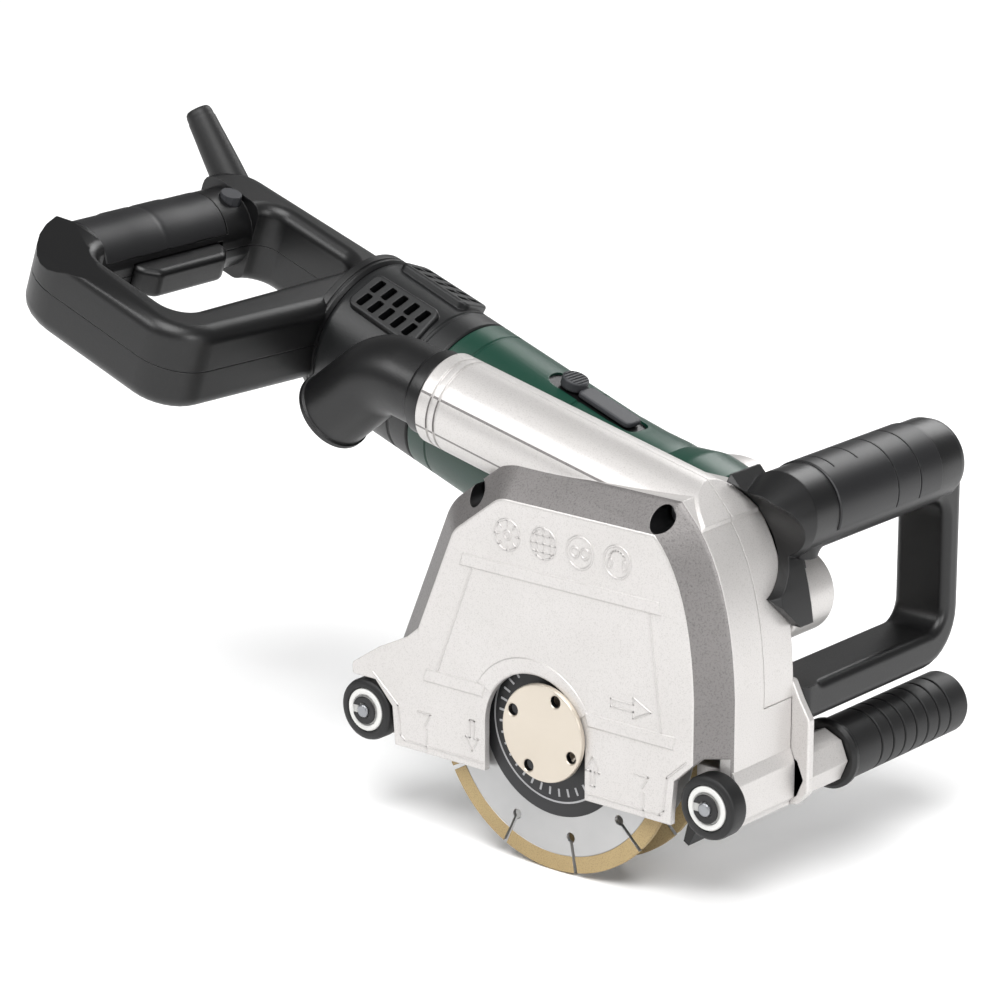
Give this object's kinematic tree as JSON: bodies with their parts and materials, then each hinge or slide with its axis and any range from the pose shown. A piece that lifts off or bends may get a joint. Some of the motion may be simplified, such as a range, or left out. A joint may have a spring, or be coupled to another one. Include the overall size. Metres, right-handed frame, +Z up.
{
  "type": "wall chaser",
  "caption": "Hand-held wall chaser: twin diamond discs in a swing-down cast hood with guide wheels, support roller, extraction elbow, bow handle and a sloping motor with a D-shaped rear handle.",
  "frame": {"origin": "centre of the clamp nut's outer face, on the spindle axis", "axes": "+X in the cutting direction, towards the front handle; +Y along the spindle, away from the near cover and towards the motor; +Z up, away from the wall being cut"},
  "size_m": [0.4039, 0.2001, 0.2698],
  "materials": {
    "cast_silver": "silver-painted die casting, satin",
    "steel": "machined steel",
    "nut_steel": "bright turned steel, warm tint",
    "disc_steel": "ground steel with sandy diamond rim",
    "armature": "laminated steel with copper bars",
    "windings": "laminated steel with copper windings",
    "brass": "brass",
    "handle_black": "fine-textured black plastic",
    "soft_grip": "dark soft overmould",
    "rubber": "black rubber",
    "hub_plastic": "white plastic",
    "green_plastic": "dark green plastic",
    "grey_plastic": "dark grey plastic"
  },
  "bodies": {
    "hood": {"hood_cover": "cast_silver", "hood_back": "cast_silver", "hood_screw_1": "steel", "hood_screw_2": "steel", "dust_flap": "rubber", "pivot_pin": "steel", "pivot_cap": "cast_silver", "front_handle": "handle_black", "front_handle_pad": "soft_grip", "roller_shaft": "steel", "roller_collar": "handle_black", "front_axle": "steel", "front_axle_clip": "handle_black", "rear_axle": "steel", "rear_axle_clip": "handle_black"},
    "roller": {"support_roller": "rubber"},
    "front_wheel": {"front_tyre": "rubber", "front_wheel_hub": "hub_plastic"},
    "rear_wheel": {"rear_tyre": "rubber", "rear_wheel_hub": "hub_plastic"},
    "elbow": {"extraction_elbow": "handle_black"},
    "drive": {"gear_plate": "cast_silver", "gear_case": "cast_silver", "gear_cover": "green_plastic", "motor_housing": "green_plastic", "rear_housing": "grey_plastic", "stator": "windings", "brush_holder_1": "brass", "brush_holder_2": "brass", "spindle_bearing_near": "steel", "spindle_bearing_far": "steel", "lay_bearing": "steel", "rotor_bearing_front": "steel", "rotor_bearing_rear": "steel"},
    "disc_stack": {"spindle": "steel", "spindle_gear": "steel", "near_disc": "disc_steel", "far_disc": "disc_steel", "clamp_nut": "nut_steel", "support_flange": "steel", "disc_spacer_1": "steel", "disc_spacer_2": "steel"},
    "idler": {"idler_gear": "steel"},
    "lay_set": {"lay_shaft": "steel", "crown_gear": "steel"},
    "rotor_set": {"rotor": "armature", "fan": "grey_plastic", "bevel_pinion": "steel"},
    "release_lever": {"release_lever": "grey_plastic"},
    "spindle_lock": {"spindle_lock": "handle_black"},
    "rear_handle": {"rear_handle_upper": "handle_black", "rear_handle_lower": "handle_black", "rear_grip_pad": "soft_grip", "switch_module": "grey_plastic", "strain_relief": "rubber"},
    "trigger": {"trigger": "handle_black"},
    "lock_on_button": {"lock_on_button": "handle_black"}
  },
  "joints": [
    {"name": "depth_swing", "type": "hinge", "parent": "hood", "child": "drive", "pos_m": [0.066, 0.0725, 0.056], "axis": [0, 1, 0], "range_deg": [0, 10]},
    {"name": "spindle_spin", "type": "hinge", "parent": "drive", "child": "disc_stack", "pos_m": [0, 0, 0], "axis": [0, 1, 0], "continuous": true},
    {"name": "idler_spin", "type": "hinge", "parent": "drive", "child": "idler", "pos_m": [0.0235, 0.075, 0.02316], "axis": [0, 1, 0], "continuous": true},
    {"name": "lay_spin", "type": "hinge", "parent": "drive", "child": "lay_set", "pos_m": [0.008, 0.075, 0.0572], "axis": [0, 1, 0], "continuous": true},
    {"name": "rotor_spin", "type": "hinge", "parent": "drive", "child": "rotor_set", "pos_m": [0.008, 0.094, 0.0572], "axis": [-0.9426, 0, 0.3338], "continuous": true},
    {"name": "front_wheel_spin", "type": "hinge", "parent": "hood", "child": "front_wheel", "pos_m": [0.0837, 0.0072, -0.013], "axis": [0, 1, 0], "continuous": true},
    {"name": "rear_wheel_spin", "type": "hinge", "parent": "hood", "child": "rear_wheel", "pos_m": [-0.0994, 0.0072, -0.013], "axis": [0, 1, 0], "continuous": true},
    {"name": "roller_spin", "type": "hinge", "parent": "hood", "child": "roller", "pos_m": [0.0837, 0.13, -0.013], "axis": [0, 1, 0], "continuous": true},
    {"name": "elbow_turn", "type": "hinge", "parent": "hood", "child": "elbow", "pos_m": [-0.08, 0.034, 0.1225], "axis": [-0.9763, 0, 0.2164], "range_deg": [0, 150]},
    {"name": "rear_handle_swivel", "type": "hinge", "parent": "drive", "child": "rear_handle", "pos_m": [-0.18524, 0.094, 0.12563], "axis": [-0.9426, 0, 0.3338], "range_deg": [-90, 90]},
    {"name": "trigger_press", "type": "slide", "parent": "rear_handle", "child": "trigger", "axis": [-0.9426, 0, 0.3338], "range_m": [0, 0.005], "stiffness_N_per_m": 800, "springref_m": -0.004},
    {"name": "lock_on_press", "type": "slide", "parent": "rear_handle", "child": "lock_on_button", "axis": [-0.3338, 0, -0.9426], "range_m": [0, 0.0025], "stiffness_N_per_m": 600, "springref_m": -0.003},
    {"name": "spindle_lock_press", "type": "slide", "parent": "drive", "child": "spindle_lock", "axis": [0, -1, 0], "range_m": [0, 0.003], "stiffness_N_per_m": 600, "springref_m": -0.003},
    {"name": "release_lever_lift", "type": "hinge", "parent": "drive", "child": "release_lever", "pos_m": [-0.02887, 0.094, 0.10887], "axis": [0, 1, 0], "range_deg": [0, 8], "stiffness_Nm_per_rad": 0.6, "springref_deg": -11.46}
  ],
  "couplings": [
    {"joint": "idler_spin", "follows": "spindle_spin", "ratio": -0.875},
    {"joint": "lay_spin", "follows": "spindle_spin", "ratio": 0.77778},
    {"joint": "rotor_spin", "follows": "spindle_spin", "ratio": 2.3333}
  ]
}
